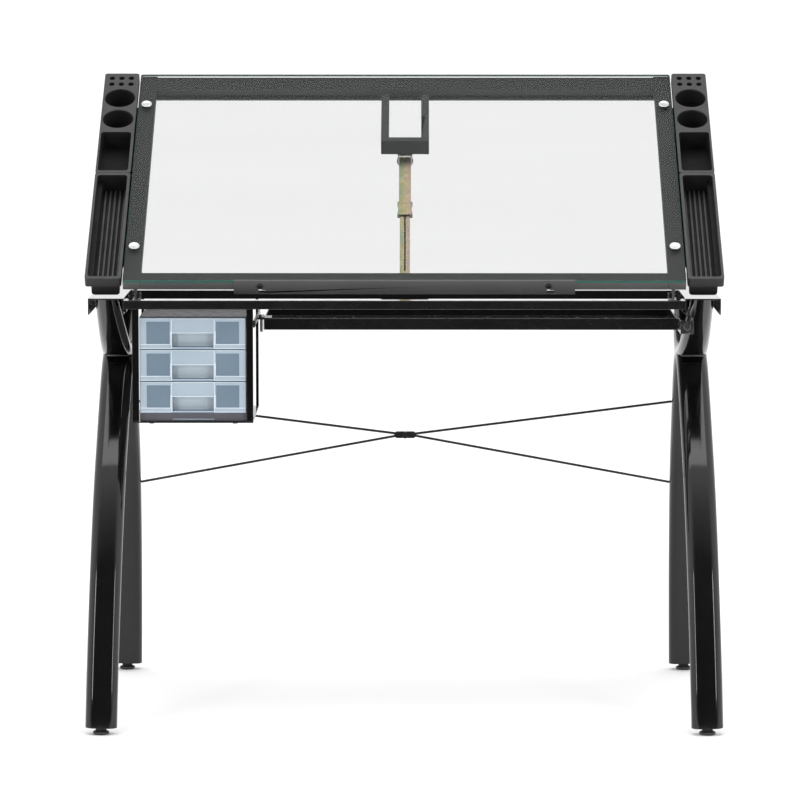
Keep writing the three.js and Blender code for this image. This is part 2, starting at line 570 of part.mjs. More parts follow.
function pocket(sign, y, tubOuter) {
  const x = across(sign, TRAY.inner + 5.5, tubOuter - 2);
  const mouth = across(sign, TRAY.inner + 5, TRAY.outer - 4.5);
  return join(
    roundedBlock(x, y, [pocketFloor, TRAY.top + 5], 5),
    roundedBlock(mouth, y, [rimUnder + 2, TRAY.top + 5], 6),
  );
}

for (const [side, sign] of SIDES) {
  const narrow = TRAY.outer - 10.5;
  const long = [TRAY_Y.front[0] + TRAY.tubInset + TRAY.wall, TRAY_Y.front[1] - TRAY.tubInset - TRAY.wall];
  add(tabletop, `tray_front_${side}`,
    cut(trayBody(sign, TRAY_Y.front, narrow), pocket(sign, long, narrow)), mattePlastic);

  const wide = TRAY.outer - 1.5;
  const centre = sign * TRAY_HOLES.x;
  const hole = (radius, x, y, sides) => rod('z', radius, pocketFloor, 60, [x, y], sides);
  const cups = TRAY_HOLES.cupY.map((y) => hole(TRAY_HOLES.cupRadius, centre, y, 32));
  const pens = TRAY_HOLES.penY.flatMap((y) => [-1, 0, 1].map((step) =>
    hole(TRAY_HOLES.penRadius, centre + step * TRAY_HOLES.penPitch, y, 12)));
  const body = trayBody(sign, TRAY_Y.back, wide);
  add(tabletop, `tray_back_${side}`, cut(body, pocket(sign, TRAY_HOLES.pocketY, wide), ...cups, ...pens),
    mattePlastic);
}

export default group;
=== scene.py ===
import json
import math

import bmesh
import bpy
from mathutils import Matrix, Vector


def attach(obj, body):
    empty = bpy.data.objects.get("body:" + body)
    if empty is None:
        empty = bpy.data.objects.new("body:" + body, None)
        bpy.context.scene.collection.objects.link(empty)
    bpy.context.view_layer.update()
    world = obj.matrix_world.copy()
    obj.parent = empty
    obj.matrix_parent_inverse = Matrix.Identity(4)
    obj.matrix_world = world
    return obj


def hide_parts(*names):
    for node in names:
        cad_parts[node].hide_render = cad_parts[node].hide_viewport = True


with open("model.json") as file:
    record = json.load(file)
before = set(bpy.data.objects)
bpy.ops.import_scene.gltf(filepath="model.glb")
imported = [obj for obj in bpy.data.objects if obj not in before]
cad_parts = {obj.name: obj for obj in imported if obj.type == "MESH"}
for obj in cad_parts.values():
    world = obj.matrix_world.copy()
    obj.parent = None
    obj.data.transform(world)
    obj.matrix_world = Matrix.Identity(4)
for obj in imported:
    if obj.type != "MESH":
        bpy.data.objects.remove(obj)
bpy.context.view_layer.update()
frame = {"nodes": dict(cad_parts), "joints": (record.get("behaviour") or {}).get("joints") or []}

# ---- driving places, read from the frame -----------------------------------------
MM = 0.001
NODES = frame["nodes"]
JOINTS = {joint["name"]: joint for joint in frame["joints"]}
SIDES = (("left", -1), ("right", 1))
ENDS = (("front", -1), ("back", 1))
TILT = -math.radians(JOINTS["top_tilt"]["range_deg"][0])
HINGE = Vector(JOINTS["top_tilt"]["pos_m"])
TOP = Matrix.Translation(HINGE) @ Matrix.Rotation(TILT, 4, "X")   # x across, y up the slope, z off the glass
STAND = Matrix.Identity(4)

slide = Vector(JOINTS["ratchet_strap_slide"]["axis"])
RATCHET_PIVOT = Vector(JOINTS["ratchet_arm_swing"]["pos_m"])
RATCHET = Matrix.Translation(RATCHET_PIVOT) @ Matrix.Rotation(math.atan2(slide.z, slide.y), 4, "X")

# The leg and arm tubes, in millimetres, in the leaning plane of one pair of legs.
FOOT_X, FOOT_Y, LEG_LEAN = 522, 318, 0.0208
TUBE_WIDTH, TUBE_THICK, ARM_TOP_WIDTH, ARM_SPLAY = 55, 30, 40, 6
LEG_BOTTOM, KNEE_Z, ARM_TOP_Z, CHANNEL_UNDER = 12, 631, 740, 745.6
HALF_GAP = 0.15


# ---- mesh helpers ----------------------------------------------------------------
def mesh_box(node, place=STAND):
    """Lowest and highest corner of a CAD node in a turned frame, in millimetres."""
    back = place.inverted()
    points = [back @ vertex.co / MM for vertex in NODES[node].data.vertices]
    return Vector(map(min, zip(*points))), Vector(map(max, zip(*points)))


def to_mesh(bm, name="part"):
    bmesh.ops.recalc_face_normals(bm, faces=bm.faces)
    mesh = bpy.data.meshes.new(name)
    bm.to_mesh(mesh)
    bm.free()
    return mesh


def block(low, high):
    bm = bmesh.new()
    bmesh.ops.create_cube(bm, size=1)
    for vertex in bm.verts:
        vertex.co = Vector(low[i] + (vertex.co[i] + 0.5) * (high[i] - low[i]) for i in range(3))
    return to_mesh(bm)


def lathe(profile, segments=48):
    """A turned solid about Z from (radius, height) pairs that start and end on the axis."""
    bm = bmesh.new()
    rings = []
    for radius, height in profile:
        if radius < 1e-6:
            rings.append([bm.verts.new((0, 0, height))])
            continue
        turn = [2 * math.pi * i / segments for i in range(segments)]
        rings.append([bm.verts.new((radius * math.cos(a), radius * math.sin(a), height)) for a in turn])
    for lower, upper in zip(rings, rings[1:]):
        for i in range(segments):
            j = (i + 1) % segments
            corners = [lower[i % len(lower)], lower[j % len(lower)]]
            corners += [upper[j % len(upper)], upper[i % len(upper)]]
            bm.faces.new(list(dict.fromkeys(corners)))
    return to_mesh(bm)


def rod(start, end, radius, segments=32):
    """A cylinder between two points."""
    start, end = Vector(start), Vector(end)
    mesh = lathe([(0, 0), (radius, 0), (radius, (end - start).length), (0, (end - start).length)], segments)
    mesh.transform(Matrix.Translation(start) @ (end - start).to_track_quat("Z", "Y").to_matrix().to_4x4())
    return mesh


def rounded_rectangle(low, high, radius, steps=8):
    outline = []
    corners = ((high[0], high[1], 0), (low[0], high[1], 90), (low[0], low[1], 180), (high[0], low[1], 270))
    for x, y, start in corners:
        cx = x - math.copysign(radius, x - (low[0] + high[0]) / 2)
        cy = y - math.copysign(radius, y - (low[1] + high[1]) / 2)
        for i in range(steps + 1):
            angle = math.radians(start + 90 * i / steps)
            outline.append((cx + radius * math.cos(angle), cy + radius * math.sin(angle)))
    return outline


def plate(outline, low, high):
    """An outline in X and Y, made solid between two heights."""
    bm = bmesh.new()
    base = bm.faces.new([bm.verts.new((x, y, low)) for x, y in outline])
    top = bmesh.ops.extrude_face_region(bm, geom=[base])["geom"]
    moved = [v for v in top if isinstance(v, bmesh.types.BMVert)]
    bmesh.ops.translate(bm, vec=(0, 0, high - low), verts=moved)
    return to_mesh(bm)


def along_y(outline, low, high):
    """An outline in X and Z, made solid between two places on Y."""
    mesh = plate(outline, low, high)
    mesh.transform(Matrix(((1, 0, 0, 0), (0, 0, 1, 0), (0, 1, 0, 0), (0, 0, 0, 1))))
    mesh.flip_normals()
    return mesh


def joined(meshes):
    bm = bmesh.new()
    for mesh in meshes:
        bm.from_mesh(mesh)
    return to_mesh(bm)


def boolean(body, tools, operation="DIFFERENCE"):
    """The body with each tool cut from it or joined to it."""
    holder = bpy.data.objects.new("body", body)
    bpy.context.scene.collection.objects.link(holder)
    helpers = []
    for tool in tools:
        helper = bpy.data.objects.new("tool", tool)
        bpy.context.scene.collection.objects.link(helper)
        helpers.append(helper)
        modifier = holder.modifiers.new("cut", "BOOLEAN")
        modifier.operation = operation
        modifier.solver = "EXACT"
        modifier.object = helper
    graph = bpy.context.evaluated_depsgraph_get()
    mesh = bpy.data.meshes.new_from_object(holder.evaluated_get(graph))
    for item in [holder, *helpers]:
        bpy.data.objects.remove(item)
    return mesh


def round_edges(obj, width, segments=3, angle=38):
    """Small rounded edges that catch the light, as on bent sheet, mouldings and painted tube."""
    for polygon in obj.data.polygons:
        polygon.use_smooth = True
    stored = obj.data.attributes.get("custom_normal")
    if stored:
        obj.data.attributes.remove(stored)
    weld = obj.modifiers.new("weld", "WELD")
    weld.merge_threshold = 0.01 * MM
    bevel = obj.modifiers.new("rounded_edges", "BEVEL")
    bevel.width = width * MM
    bevel.segments = segments
    bevel.limit_method = "ANGLE"
    bevel.angle_limit = math.radians(angle)
    bevel.harden_normals = True


def piece(name, mesh, body, look, replaces=(), place=STAND, rounding=0.0):
    """A new visible piece from a mesh in millimetres."""
    mesh.transform(place @ Matrix.Scale(MM, 4))
    obj = bpy.data.objects.new(name, mesh)
    bpy.context.scene.collection.objects.link(obj)
    mesh.materials.clear()
    for item in look if isinstance(look, (list, tuple)) else [look]:
        mesh.materials.append(item)
    if rounding:
        round_edges(obj, rounding)
    else:
        for polygon in mesh.polygons:
            polygon.use_smooth = True
    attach(obj, body)
    if replaces:
        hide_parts(*replaces)
    return obj


# ---- material helpers ------------------------------------------------------------
def new_material(name, roughness=0.5, metallic=0.0, **sockets):
    made = bpy.data.materials.new(name)
    made.use_nodes = True
    shader = made.node_tree.nodes["Principled BSDF"]
    shader.inputs["Roughness"].default_value = roughness
    shader.inputs["Metallic"].default_value = metallic
    for key, value in sockets.items():
        shader.inputs[key.replace("_", " ")].default_value = value
    return made, made.node_tree, shader


def noise(tree, scale, detail=3.0, stretch=(1, 1, 1)):
    """Noise over the object's own coordinates; scale is in features per metre."""
    coordinates = tree.nodes.new("ShaderNodeTexCoord")
    mapping = tree.nodes.new("ShaderNodeMapping")
    mapping.inputs["Scale"].default_value = stretch
    texture = tree.nodes.new("ShaderNodeTexNoise")
    texture.inputs["Scale"].default_value = scale
    texture.inputs["Detail"].default_value = detail
    tree.links.new(coordinates.outputs["Object"], mapping.inputs["Vector"])
    tree.links.new(mapping.outputs["Vector"], texture.inputs["Vector"])
    return texture.outputs["Fac"]


def ramp(tree, value, stops):
    """Maps a value through (place, colour) stops."""
    node = tree.nodes.new("ShaderNodeValToRGB")
    elements = node.color_ramp.elements
    while len(elements) < len(stops):
        elements.new(0.5)
    for element, (place, color) in zip(elements, stops):
        element.position = place
        element.color = (*color, 1)
    tree.links.new(value, node.inputs["Fac"])
    return node.outputs["Color"]


def spread(tree, value, low, high, seen=(0.3, 0.7)):
    """Maps the span a value is seen to cover, which for noise is its middle part, to low and high."""
    node = tree.nodes.new("ShaderNodeMapRange")
    node.inputs["From Min"].default_value = seen[0]
    node.inputs["From Max"].default_value = seen[1]
    node.inputs["To Min"].default_value = low
    node.inputs["To Max"].default_value = high
    tree.links.new(value, node.inputs["Value"])
    return node.outputs["Result"]


def bump(tree, shader, height, strength, distance):
    node = tree.nodes.new("ShaderNodeBump")
    node.inputs["Strength"].default_value = strength
    node.inputs["Distance"].default_value = distance * MM
    tree.links.new(height, node.inputs["Height"])
    tree.links.new(node.outputs["Normal"], shader.inputs["Normal"])


def surface(name, dark, light, roughness, grain, grain_depth, metallic=0.0, stretch=(1, 1, 1), **sockets):
    """Mottled colour, uneven roughness and a fine grain: the base of every opaque material."""
    made, tree, shader = new_material(name, metallic=metallic, **sockets)
    mottle = noise(tree, 14, 4)
    tree.links.new(ramp(tree, mottle, [(0.3, dark), (0.7, light)]), shader.inputs["Base Color"])
    wear = noise(tree, 60, 3, stretch)
    tree.links.new(spread(tree, wear, *roughness), shader.inputs["Roughness"])
    bump(tree, shader, noise(tree, grain, 2, stretch), 0.35, grain_depth)
    return made


def grey(value, warm=1.0):
    return (value * warm, value, value)


# ---- materials -------------------------------------------------------------------
def zinc_look():
    """Yellow zinc plating: bands of green, gold and pink that follow the strip's width."""
    made, tree, shader = new_material("iridescent_zinc", metallic=1.0)
    coordinates = tree.nodes.new("ShaderNodeTexCoord")
    split = tree.nodes.new("ShaderNodeSeparateXYZ")
    tree.links.new(coordinates.outputs["Object"], split.inputs["Vector"])
    across = tree.nodes.new("ShaderNodeMath")
    across.operation = "MULTIPLY_ADD"
    across.inputs[1].default_value = 28
    across.inputs[2].default_value = 0.15
    tree.links.new(split.outputs["X"], across.inputs[0])
    mixed = tree.nodes.new("ShaderNodeMath")
    mixed.operation = "ADD"
    tree.links.new(across.outputs["Value"], mixed.inputs[0])
    tree.links.new(noise(tree, 55, 3), mixed.inputs[1])
    stops = [(0.25, (0.14, 0.21, 0.16)), (0.45, (0.22, 0.225, 0.12)), (0.62, (0.27, 0.235, 0.13)),
             (0.80, (0.285, 0.21, 0.15)), (0.95, (0.26, 0.20, 0.195))]
    tree.links.new(ramp(tree, mixed.outputs["Value"], stops), shader.inputs["Base Color"])
    tree.links.new(spread(tree, noise(tree, 90, 3), 0.22, 0.38), shader.inputs["Roughness"])
    bump(tree, shader, noise(tree, 900, 2), 0.2, 0.02)
    return made


def glass_look(name, color, alpha, roughness):
    made, tree, shader = new_material(name, Alpha=alpha, IOR=1.5)
    smears = noise(tree, 5, 3)
    shade = tuple(0.94 * c for c in color)
    tree.links.new(ramp(tree, smears, [(0.3, shade), (0.7, color)]), shader.inputs["Base Color"])
    tree.links.new(spread(tree, smears, roughness, roughness + 0.02), shader.inputs["Roughness"])
    return made


def frosted_look(name, dark, light, alpha, **sockets):
    """Translucent moulded plastic with a fine etched skin."""
    return surface(name, dark, light, (0.32, 0.5), 1400, 0.03, Alpha=alpha, IOR=1.46, **sockets)


GLOSS_BLACK = surface("gloss_black_paint", grey(0.004), grey(0.006, 1.04), (0.06, 0.11), 260, 0.008,
                      Specular_IOR_Level=0.5)
RAIL_BLACK = surface("rail_black_paint", grey(0.006), grey(0.009), (0.20, 0.28), 900, 0.01, Coat_Weight=0.4,
                     Coat_Roughness=0.10)
SATIN_GREY = surface("satin_grey_paint", grey(0.017), grey(0.021), (0.46, 0.56), 1600, 0.04,
                     Specular_IOR_Level=0.16)
# A lighter copy of the satin grey: painted light on the frame's front faces and on the frame plugs.
FRONT_LIT_GREY = surface("satin_grey_painted_light_front", grey(0.110), grey(0.125), (0.46, 0.56), 1600, 0.04)
LEDGE_GREY = surface("ledge_grey_paint", grey(0.090), grey(0.105), (0.45, 0.55), 1800, 0.05,
                     Specular_IOR_Level=0.4)
LOOP_BLACK = surface("loop_paint", grey(0.034), grey(0.042), (0.42, 0.52), 1500, 0.04,
                     Specular_IOR_Level=0.16)
TRAY_PLASTIC = surface("tray_plastic", grey(0.020), grey(0.026), (0.42, 0.54), 1100, 0.08,
                       Specular_IOR_Level=0.35)
# A darker copy of the tray plastic for the well floors: painted shade in the wells.
TRAY_FLOOR_SHADE = surface("tray_floor_painted_shade", grey(0.008), grey(0.011), (0.45, 0.58), 1100, 0.08,
                     Specular_IOR_Level=0.08)
FOOT_PLASTIC = surface("foot_plastic", grey(0.020), grey(0.030), (0.35, 0.5), 900, 0.06)
BLACK_STEEL = surface("black_steel", grey(0.012), grey(0.018), (0.25, 0.35), 800, 0.03, metallic=0.3)
BRIGHT_STEEL = surface("bright_steel", grey(0.30), grey(0.40), (0.16, 0.28), 700, 0.02, metallic=1.0)
DISC_STEEL = surface("brushed_disc_steel", grey(0.40), grey(0.56), (0.20, 0.34), 500, 0.04, metallic=1.0,
                     stretch=(1, 0.08, 0.08))
# Grey for the knee weld beads: a painted highlight along the seam.
WELD_HIGHLIGHT_GREY = surface("weld_bead_painted_highlight", grey(0.08), grey(0.14), (0.30, 0.45), 600, 0.08, metallic=0.4)
ZINC = zinc_look()
GLASS_FACE = glass_look("clear_glass", (0.050, 0.062, 0.058), 0.145, 0.01)
GLASS_EDGE = glass_look("green_glass_edge", (0.036, 0.155, 0.120), 0.94, 0.08)
FROSTED = frosted_look("frosted_plastic", (0.175, 0.245, 0.315), (0.20, 0.275, 0.35), 0.92)
# A near-white copy of the frosted plastic: painted light on the scoop's back; on the thick edges and pull
# ribs, paler plastic with painted highlight.
FROSTED_PALE_LIT = frosted_look("frosted_plastic_edge_painted_light", (0.66, 0.75, 0.82), (0.74, 0.83, 0.90), 0.96)
# A paler copy of the frosted plastic: the thick raised parts of the drawer fronts, and painted light on the
# base's notch.
FROSTED_LIGHT = frosted_look("frosted_plastic_thick_and_painted_light", (0.43, 0.52, 0.60), (0.47, 0.56, 0.65), 0.94)
SMOKED = frosted_look("smoked_plastic", (0.150, 0.147, 0.170), (0.172, 0.168, 0.194), 0.96)
# A darker copy of the smoked plastic for the cabinet's upward faces: painted shade from the tabletop above.
SMOKED_TOP_SHADE = frosted_look("smoked_plastic_top_painted_shade", (0.040, 0.040, 0.047), (0.050, 0.050, 0.058), 0.97,
                          Specular_IOR_Level=0.1)


# ---- camera, light and floor -----------------------------------------------------
CAMERA_LENS, CAMERA_PLACE = 182.4, (0.024, -7.19, 1.35)
CAMERA_DOWN, CAMERA_TURN = math.radians(6.40), math.radians(-0.26)
ROOM_BRIGHTNESS = 1.32
SOFTBOX_PLACE, SOFTBOX_SIZE, SOFTBOX_POWER = (2.6, -4.2, 1.5), (0.5, 2.0), 30
CEILING_PLACE, CEILING_SIZE, CEILING_POWER = (0, -0.6, 4.0), (3.0, 3.0), 60
FLOOR_RADIUS, FLOOR_SHIFT = 150, 148      # stops 2 m in front, so the rails mirror the room's dark end


def camera_at_photo_angle():
    data = bpy.data.cameras.new("camera")
    data.lens = CAMERA_LENS
    data.sensor_width = 36
    data.clip_end = 200
    data.dof.use_dof = False
    camera = bpy.data.objects.new("camera", data)
    camera.location = CAMERA_PLACE
    level = math.cos(CAMERA_DOWN)
    ahead = Vector((math.sin(CAMERA_TURN) * level, math.cos(CAMERA_TURN) * level, -math.sin(CAMERA_DOWN)))
    camera.rotation_euler = ahead.to_track_quat("-Z", "Y").to_euler()
    bpy.context.scene.collection.objects.link(camera)
    bpy.context.scene.camera = camera


def softbox(name, place, target, size, power):
    data = bpy.data.lights.new(name, "AREA")
    data.shape = "RECTANGLE"
    data.size, data.size_y = size
    data.energy = power
    light = bpy.data.objects.new(name, data)
    light.location = place
    light.rotation_euler = (Vector(target) - Vector(place)).to_track_quat("-Z", "Y").to_euler()
    bpy.context.scene.collection.objects.link(light)


def studio():
    """A white room that is darker behind the camera, so that black gloss keeps a dark middle."""
    world = bpy.data.worlds.new("studio")
    bpy.context.scene.world = world
    world.use_nodes = True
    tree = world.node_tree
    background = tree.nodes["Background"]
    coordinates = tree.nodes.new("ShaderNodeTexCoord")
    split = tree.nodes.new("ShaderNodeSeparateXYZ")
    tree.links.new(coordinates.outputs["Generated"], split.inputs["Vector"])
    room = ramp(tree, spread(tree, split.outputs["Y"], 0, 1, (-1, 1)),
                [(0.0, grey(0.04)), (0.075, grey(0.06)), (0.20, grey(0.85)), (0.40, grey(1.0))])
    path = tree.nodes.new("ShaderNodeLightPath")
    mix = tree.nodes.new("ShaderNodeMix")
    mix.data_type = "RGBA"
    tree.links.new(path.outputs["Is Camera Ray"], mix.inputs["Factor"])
    tree.links.new(room, mix.inputs["A"])
    mix.inputs["B"].default_value = (1, 1, 1, 1)
    tree.links.new(mix.outputs["Result"], background.inputs["Color"])
    background.inputs["Strength"].default_value = ROOM_BRIGHTNESS
    for side, sign in SIDES:
        x, y, z = SOFTBOX_PLACE
        softbox(f"{side}_softbox", (sign * x, y, z), (0, 0, 0.6), SOFTBOX_SIZE, SOFTBOX_POWER)
    softbox("top_softbox", CEILING_PLACE, (0, 0, 0.5), CEILING_SIZE, CEILING_POWER)


def pale_floor():
    bm = bmesh.new()
    bmesh.ops.create_circle(bm, cap_ends=True, segments=96, radius=FLOOR_RADIUS)
    bmesh.ops.translate(bm, vec=(0, FLOOR_SHIFT, 0), verts=bm.verts)
    mesh = to_mesh(bm)
    floor = bpy.data.objects.new("floor", mesh)
    bpy.context.scene.collection.objects.link(floor)
    made, tree, shader = new_material("pale_floor", roughness=0.9)
    tree.links.new(ramp(tree, noise(tree, 0.4, 2), [(0.3, grey(0.93)), (0.7, grey(0.95))]),
                   shader.inputs["Base Color"])
    mesh.materials.append(made)


# ---- legs and arms ---------------------------------------------------------------
# Places and control points in Y and Z on the centrelines of the front half, mirrored for the back.
LEG_LOWER_CURVE = ((FOOT_Y, LEG_BOTTOM), (304, 165), (241, 363.5), (167, 461))
LEG_UPPER_CURVE = ((167, 461), (110, 536), (50, KNEE_Z), (0, KNEE_Z))
ARM_CURVE = ((0, KNEE_Z), (60, KNEE_Z), (150, 690), (225, 738))
ARM_END = (262.5, 762)
PAST_FOOT = 6                             # the tube starts below the foot, and is cut there
WELD_REACH, WELD_DROP, WELD_RADIUS, WELD_OVERLAP = 61, 1.6, 1.3, 8


def bezier(points, steps):
    """Points along a cubic in the plane of Y and Z, with the tangent at each."""
    a, b, c, d = (Vector(p) for p in points)
    found = []
    for i in range(steps + 1):
        t = i / steps
        u = 1 - t
        place = u ** 3 * a + 3 * u * u * t * b + 3 * u * t * t * c + t ** 3 * d
        found.append((place, (3 * u * u * (b - a) + 6 * u * t * (c - b) + 3 * t * t * (d - c)).normalized()))
    return found


def leg_centreline():
    lower = bezier(LEG_LOWER_CURVE, 36)
    upper = bezier(LEG_UPPER_CURVE, 24)
    below = (lower[0][0] - PAST_FOOT * lower[0][1], lower[0][1])
    return [below, *lower, *upper[1:]]


def arm_centreline():
    rise = bezier(ARM_CURVE, 32)
    end = Vector(ARM_END)
    return [*rise, (end, (end - rise[-1][0]).normalized())]


def oval(width, thick, steps=14):
    """A flat-sided oval."""
    radius = thick / 2
    half = width / 2 - radius
    points = []
    for side in (1, -1):
        for i in range(steps + 1):
            angle = math.radians(-90 + 180 * i / steps)
            points.append((side * (half + radius * math.cos(angle)), side * radius * math.sin(angle)))
    return points


def tube(centreline, sign):
    section = oval(TUBE_WIDTH, TUBE_THICK)
    bm = bmesh.new()
    rings = []
    for place, tangent in centreline:
        normal = Vector((-tangent.y, tangent.x))
        ring = [(x, sign * (place.x + out * normal.x), place.y + out * normal.y) for x, out in section]
        rings.append([bm.verts.new(point) for point in ring])
    for lower, upper in zip(rings, rings[1:]):
        for i in range(len(section)):
            j = (i + 1) % len(section)
            bm.faces.new((lower[i], lower[j], upper[j], upper[i]))
    bm.faces.new(rings[0])
    bm.faces.new(rings[-1])
    return bm


def trim(bm, point, outward):
    """Cuts off what is past a plane and closes the end."""
    geometry = [*bm.verts, *bm.edges, *bm.faces]
    cut = bmesh.ops.bisect_plane(bm, geom=geometry, plane_co=point, plane_no=outward, clear_outer=True)
    edges = [e for e in cut["geom_cut"] if isinstance(e, bmesh.types.BMEdge) and e.is_boundary]
    if edges:
        bmesh.ops.edgeloop_fill(bm, edges=edges)


def narrow_and_splay(bm, side_sign):
    """Presses an arm narrower and leans it outwards as it rises to the channel."""
    squeeze = 1 - ARM_TOP_WIDTH / TUBE_WIDTH
    for vertex in bm.verts:
        rise = min(max((vertex.co.z - KNEE_Z) / (ARM_TOP_Z - KNEE_Z), 0), 1)
        vertex.co.x = vertex.co.x * (1 - squeeze * rise) + side_sign * ARM_SPLAY * rise


def legs_and_arms():
    for side, side_sign in SIDES:
        place = Matrix.Translation((side_sign * FOOT_X * MM, 0, 0))
        place = place @ Matrix.Rotation(-side_sign * LEG_LEAN, 4, "Y")
        for end, sign in ENDS:
            bm = tube(leg_centreline(), sign)
            trim(bm, (0, 0, LEG_BOTTOM), (0, 0, -1))
            trim(bm, (0, 0, KNEE_Z - HALF_GAP), (0, 0, 1))
            trim(bm, (0, sign * HALF_GAP, 0), (0, -sign, 0))
            name = f"leg_{end}_{side}"
            piece(f"{name}_tube", to_mesh(bm), "stand", GLOSS_BLACK, [name], place, 0.8)

            bm = tube(arm_centreline(), sign)
            trim(bm, (0, 0, KNEE_Z + HALF_GAP), (0, 0, -1))
            trim(bm, (0, 0, CHANNEL_UNDER), (0, 0, 1))
            trim(bm, (0, sign * HALF_GAP, 0), (0, -sign, 0))
            narrow_and_splay(bm, side_sign)
            name = f"arm_{end}_{side}"
            piece(f"{name}_tube", to_mesh(bm), "stand", GLOSS_BLACK, [name], place, 0.8)


def knee_welds():
    """A bead across the front and back of the seam where the bow sits on the arch, grey as a painted
    highlight on the weld.
    """
    half = (TUBE_WIDTH - TUBE_THICK) / 2 + WELD_OVERLAP
    z = KNEE_Z - WELD_DROP
    for side, side_sign in SIDES:
        x = side_sign * (FOOT_X - LEG_LEAN * KNEE_Z)
        beads = []
        for _, sign in ENDS:
            y = sign * WELD_REACH
            beads.append(rod((x - half, y, z), (x + half, y, z), WELD_RADIUS, 16))
        piece(f"knee_weld_{side}", joined(beads), "stand", WELD_HIGHLIGHT_GREY)


# ---- feet ------------------------------------------------------------------------
# (radius, height) pairs
FOOT_PAD = [(0, 0), (11.6, 0), (12.4, 0.5), (14.0, 1.6), (14.3, 2.3), (14.3, 4.2), (13.6, 5.2), (12.4, 6.0),
            (9.8, 6.5), (9.0, 7.0), (9.0, 11.0), (8.4, 11.6), (0, 11.6)]
KNURLS = 16
THREAD_CREST, THREAD_ROOT, THREAD_PITCH, THREAD_TURNS = 4.0, 3.5, 1.5, 19
THREAD_START, STEM_START, STEM_END = 11.6, 11, 41.5


def threaded_stem():
    profile = [(0, STEM_START), (THREAD_ROOT, STEM_START)]
    for i in range(THREAD_TURNS):
        crest = THREAD_START + THREAD_PITCH * i
        profile += [(THREAD_CREST, crest), (THREAD_ROOT, crest + 0.8)]
    return lathe([*profile, (THREAD_ROOT, STEM_END), (0, STEM_END)], 24)


def feet():
    """A moulded pad with a knurled neck on a threaded stem."""
    for side, side_sign in SIDES:
        for end, sign in ENDS:
            node = f"foot_{end}_{side}"
            place = Matrix.Translation((side_sign * FOOT_X * MM, sign * FOOT_Y * MM, 0))
            ribs = []
            for i in range(KNURLS):
                rib = block((8.7, -0.7, 7.0), (9.4, 0.7, 11.2))
                rib.transform(Matrix.Rotation(2 * math.pi * i / KNURLS, 4, "Z"))
                ribs.append(rib)
            pad = joined([lathe(FOOT_PAD, 64), *ribs])
            piece(f"{node}_pad", pad, node, FOOT_PLASTIC, [node], place)
            piece(f"{node}_stem", threaded_stem(), node, BRIGHT_STEEL, (), place)


# ---- glass and its fixings -------------------------------------------------------
GLASS_CORNER, GLASS_ARRIS, GLASS_HOLE = 5, 0.9, 3.6
STRIP_WIDTH, PLUG_HEIGHT, PLUG_INSET = 30, 14.2, 0.8


def glass():
    low, high = mesh_box("glass_top", TOP)
    outline = rounded_rectangle(low, high, GLASS_CORNER)
    pane = plate(outline, low.z, high.z)
    bm = bmesh.new()
    bm.from_mesh(pane)
    bmesh.ops.bevel(bm, geom=bm.edges, offset=GLASS_ARRIS, segments=2, affect="EDGES", profile=0.5)
    pane = to_mesh(bm)
    holes = []
    for side, _ in SIDES:
        for end, _ in ENDS:
            first, last = mesh_box(f"glass_bolt_{end}_{side}", TOP)
            centre = (first + last) / 2
            holes.append(rod((centre.x, centre.y, low.z - 5), (centre.x, centre.y, high.z + 5), GLASS_HOLE))
    pane = boolean(pane, holes)
    obj = piece("glass_pane", pane, "tabletop", [GLASS_FACE, GLASS_EDGE], ["glass_top"], TOP)
    off_glass = TOP.to_3x3() @ Vector((0, 0, 1))
    for polygon in obj.data.polygons:
        polygon.use_smooth = False
        polygon.material_index = 0 if abs(polygon.normal.dot(off_glass)) > 0.8 else 1


def frame_plugs():
    """Flat plugs that close the open ends of the frame's side strips."""
    half = mesh_box("glass_top", TOP)[1].x
    for side, sign in SIDES:
        low, high = mesh_box(f"top_frame_{side}", TOP)
        x = sorted((sign * (half - PLUG_INSET), sign * (half - STRIP_WIDTH + PLUG_INSET)))
        z = (high.z - PLUG_HEIGHT, high.z - PLUG_INSET)
        plugs = [block((x[0], low.y - 0.2, z[0]), (x[1], low.y + 1.2, z[1])),
                 block((x[0], high.y - 1.2, z[0]), (x[1], high.y + 0.2, z[1]))]
        # The plugs take the frame grey's lighter front copy, painted light.
        piece(f"frame_plugs_{side}", joined(plugs), "tabletop", FRONT_LIT_GREY, place=TOP,
              rounding=0.2)


def glass_fixings():
    """Flat polished caps with a turned edge over the screws that hold the glass."""
    for side, _ in SIDES:
        for end, _ in ENDS:
            node = f"glass_bolt_{end}_{side}"
            low, high = mesh_box(node, TOP)
            centre = (low + high) / 2
            top = high.z
            under = mesh_box("glass_top", TOP)[1].z + 0.3
            radius = (high.x - low.x) / 2
            profile = [(0, low.z), (3.1, low.z), (3.1, under), (radius, under), (radius, top - 1.0),
                       (radius - 0.3, top - 0.5), (radius - 0.9, top - 0.1), (radius - 1.6, top),
                       (radius - 2.4, top - 0.25), (0, top - 0.25)]
            place = TOP @ Matrix.Translation((centre.x * MM, centre.y * MM, 0))
            piece(f"{node}_cap", lathe(profile, 64), "tabletop", DISC_STEEL, [node], place)


def ledge_screws():
    for side, _ in SIDES:
        node = f"ledge_screw_{side}"
        low, high = mesh_box(node, TOP)
        centre = (low + high) / 2
        radius = (high.x - low.x) / 2
        shank = high.y - low.y
        head = [(0, 0), (2.5, 0), (2.5, shank - 2.2), (radius, shank - 2.2), (radius, shank - 1.5),
                (radius - 0.6, shank - 0.8), (radius - 1.7, shank - 0.25), (radius - 3.2, shank), (0, shank)]
        cross = [block((-2.8, -0.6, shank - 1.3), (2.8, 0.6, shank + 1)),
                 block((-0.6, -2.8, shank - 1.3), (0.6, 2.8, shank + 1))]
        turn = Matrix.Rotation(math.pi / 2, 4, "X")      # the head faces down the slope
        place = TOP @ Matrix.Translation((centre.x * MM, high.y * MM, centre.z * MM)) @ turn
        piece(f"{node}_head", boolean(lathe(head, 40), cross), "tabletop", BLACK_STEEL, [node],
              place, 0.1)


